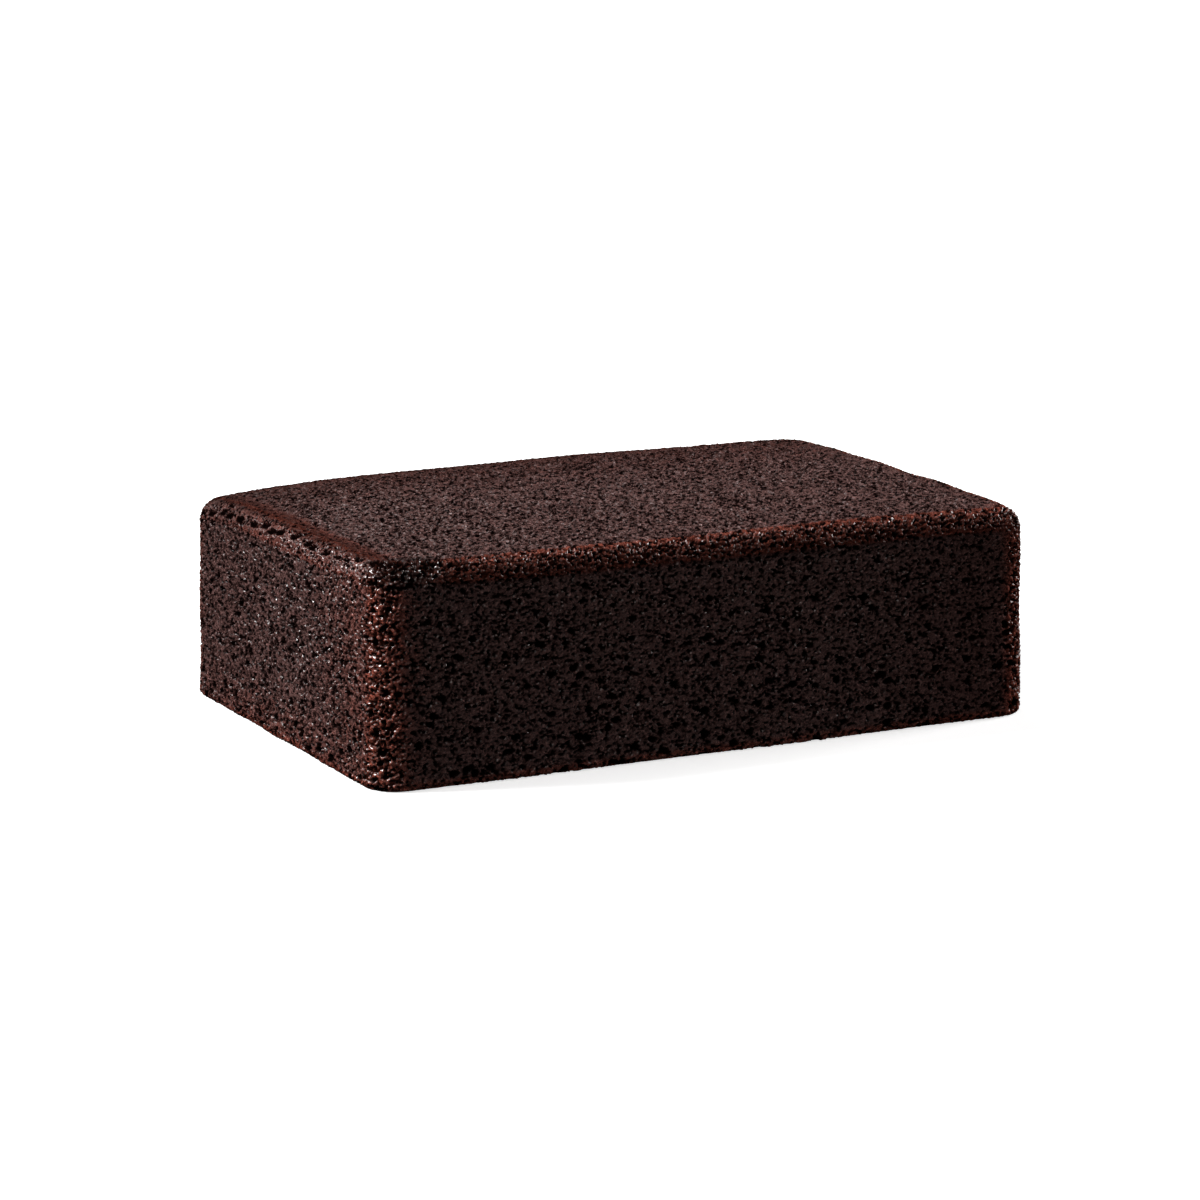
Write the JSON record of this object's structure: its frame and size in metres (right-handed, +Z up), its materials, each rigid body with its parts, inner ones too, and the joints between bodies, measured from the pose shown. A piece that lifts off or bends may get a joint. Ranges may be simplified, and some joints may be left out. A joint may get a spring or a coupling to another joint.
{
  "type": "mud cake",
  "caption": "Uncut rectangular chocolate mud cake with rounded edges and an open moist crumb, a dessert that rests on its flat base.",
  "frame": {"origin": "middle of the flat base, on the surface that the cake stands on", "axes": "+X along the length, +Y along the width towards the back, +Z up; the long front wall faces -Y"},
  "size_m": [0.2034, 0.1354, 0.0614],
  "materials": {
    "crumb": "moist open crumb, dark cocoa brown, satin with small wet glints"
  },
  "bodies": {
    "root": {"cake": "crumb"}
  },
  "joints": []
}
